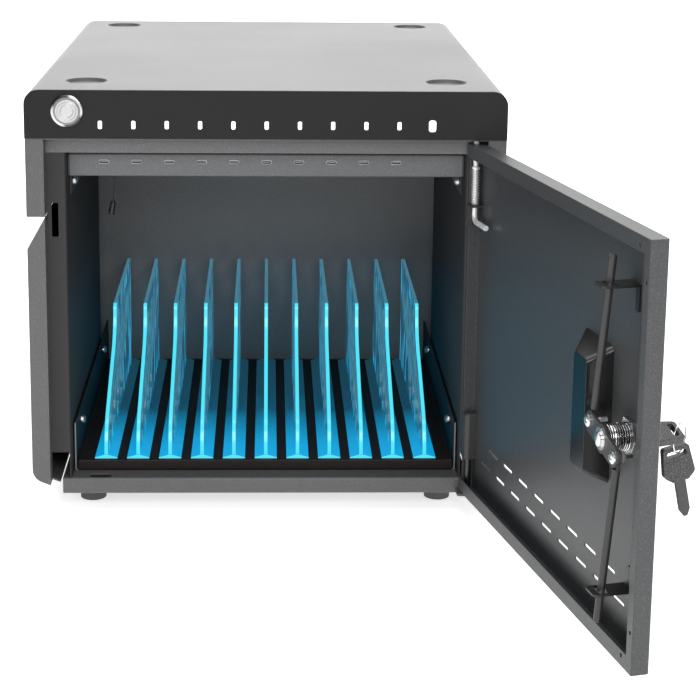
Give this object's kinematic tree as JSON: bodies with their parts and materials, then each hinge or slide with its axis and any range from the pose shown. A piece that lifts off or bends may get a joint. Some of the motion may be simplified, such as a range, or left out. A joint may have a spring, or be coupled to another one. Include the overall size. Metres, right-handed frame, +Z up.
{
  "type": "charging cabinet",
  "caption": "Desktop charging cabinet: steel box with an open hinged locking door, a row of upright blue dividers for devices, charging ports above and a black front fascia with a button.",
  "frame": {"origin": "on the floor under the middle of the cabinet's body, at the centre of its feet", "axes": "+Z up, -Y to the front with the door, +X to the right seen from the front"},
  "size_m": [0.5007, 0.85, 0.3735],
  "materials": {
    "body_paint": "satin charcoal powder coat",
    "frame_paint": "satin charcoal powder coat",
    "bay_paint": "satin charcoal powder coat",
    "door_paint": "satin slate-grey powder coat",
    "fascia_plastic": "fine-grained black moulding",
    "divider_plastic": "clear bright blue moulding",
    "foot_rubber": "matt black rubber",
    "chrome": "bright plated",
    "brushed_metal": "zinc-plated and brushed steel",
    "blackened_steel": "blackened steel",
    "key_grip": "black moulded bow on a dark steel blade",
    "spring_steel": "drawn spring wire",
    "cup_plastic": "dark grey moulding",
    "light_lens": "milky light guide",
    "board_green": "printed circuit board",
    "brass": "turned brass",
    "supply_case": "plain aluminium case",
    "black_plastic": "black moulding",
    "lead_sheath": "black insulated lead"
  },
  "bodies": {
    "cabinet": {"back_panel": "body_paint", "back_screws": "brushed_metal", "base_pan": "frame_paint", "bay_screws": "brushed_metal", "board_standoffs": "brass", "button_housing": "chrome", "button_nut": "brushed_metal", "charger_board": "board_green", "device_tray": "bay_paint", "divider_01": "divider_plastic", "divider_02": "divider_plastic", "divider_03": "divider_plastic", "divider_04": "divider_plastic", "divider_05": "divider_plastic", "divider_06": "divider_plastic", "divider_07": "divider_plastic", "divider_08": "divider_plastic", "divider_09": "divider_plastic", "divider_10": "divider_plastic", "divider_11": "divider_plastic", "fan_frame": "black_plastic", "front_fascia": "fascia_plastic", "header_bar": "frame_paint", "hinge_ear": "frame_paint", "lead_grommet": "lead_sheath", "left_inner_wall": "frame_paint", "left_side_panel": "body_paint", "light_board": "board_green", "light_guides": "light_lens", "mains_inlet": "black_plastic", "port_shelf": "bay_paint", "power_supply": "supply_case", "rear_partition": "frame_paint", "right_inner_wall": "frame_paint", "right_side_panel": "body_paint", "rubber_feet": "foot_rubber", "sensor_lead": "lead_sheath", "sensor_probe": "lead_sheath", "top_cover": "body_paint", "usb_receptacles": "brushed_metal"},
    "door": {"door_panel": "door_paint", "bolt_guide": "blackened_steel", "bolt_spring": "spring_steel", "lower_hinge_pin": "brushed_metal", "lower_hinge_block": "blackened_steel", "pull_cup": "cup_plastic", "lock_barrel": "chrome", "lock_nut": "brushed_metal", "rod_guides": "blackened_steel"},
    "hinge_bolt": {"hinge_bolt": "brushed_metal"},
    "lock": {"lock_plug": "chrome", "lock_cam": "blackened_steel", "cam_screws": "brushed_metal", "inserted_key": "key_grip"},
    "upper_rod": {"upper_rod": "blackened_steel"},
    "lower_rod": {"lower_rod": "blackened_steel"},
    "key_ring": {"key_ring": "chrome"},
    "spare_key": {"spare_key": "key_grip"},
    "button": {"button_cap": "brushed_metal"},
    "fan": {"fan_rotor": "black_plastic"}
  },
  "joints": [
    {"name": "door_hinge", "type": "hinge", "parent": "cabinet", "child": "door", "pos_m": [0.1755, -0.2453, 0.17], "axis": [0, 0, 1], "range_deg": [-103.15, 2]},
    {"name": "bolt_slide", "type": "slide", "parent": "door", "child": "hinge_bolt", "axis": [0, 0, 1], "range_m": [-0.009, 0], "stiffness_N_per_m": 300, "springref_m": 0.012, "deforming": ["bolt_spring"]},
    {"name": "lock_turn", "type": "hinge", "parent": "door", "child": "lock", "pos_m": [0.24739, -0.55301, 0.17925], "axis": [0.9738, 0.2275, 0], "range_deg": [0, 74]},
    {"name": "upper_rod_pivot", "type": "hinge", "parent": "lock", "child": "upper_rod", "pos_m": [0.22865, -0.53522, 0.18524], "axis": [0.9738, 0.2275, 0], "range_deg": [-90, 2]},
    {"name": "lower_rod_pivot", "type": "hinge", "parent": "lock", "child": "lower_rod", "pos_m": [0.23847, -0.57726, 0.17326], "axis": [0.9738, 0.2275, 0], "range_deg": [-90, 2]},
    {"name": "ring_swing", "type": "hinge", "parent": "lock", "child": "key_ring", "pos_m": [0.28615, -0.54396, 0.17925], "axis": [0.2275, -0.9738, 0], "range_deg": [-4, 12]},
    {"name": "spare_key_swing", "type": "hinge", "parent": "key_ring", "child": "spare_key", "pos_m": [0.28867, -0.5406, 0.16345], "axis": [0.2275, -0.9738, 0], "range_deg": [-7, 4]},
    {"name": "button_press", "type": "slide", "parent": "cabinet", "child": "button", "axis": [0, 1, 0], "range_m": [0, 0.002], "stiffness_N_per_m": 800, "springref_m": -0.002},
    {"name": "fan_spin", "type": "hinge", "parent": "cabinet", "child": "fan", "pos_m": [0.092, 0.2395, 0.217], "axis": [0, 1, 0], "continuous": true}
  ],
  "couplings": [
    {"joint": "upper_rod_pivot", "follows": "lock_turn", "ratio": -1.14},
    {"joint": "lower_rod_pivot", "follows": "lock_turn", "ratio": -1.138}
  ]
}
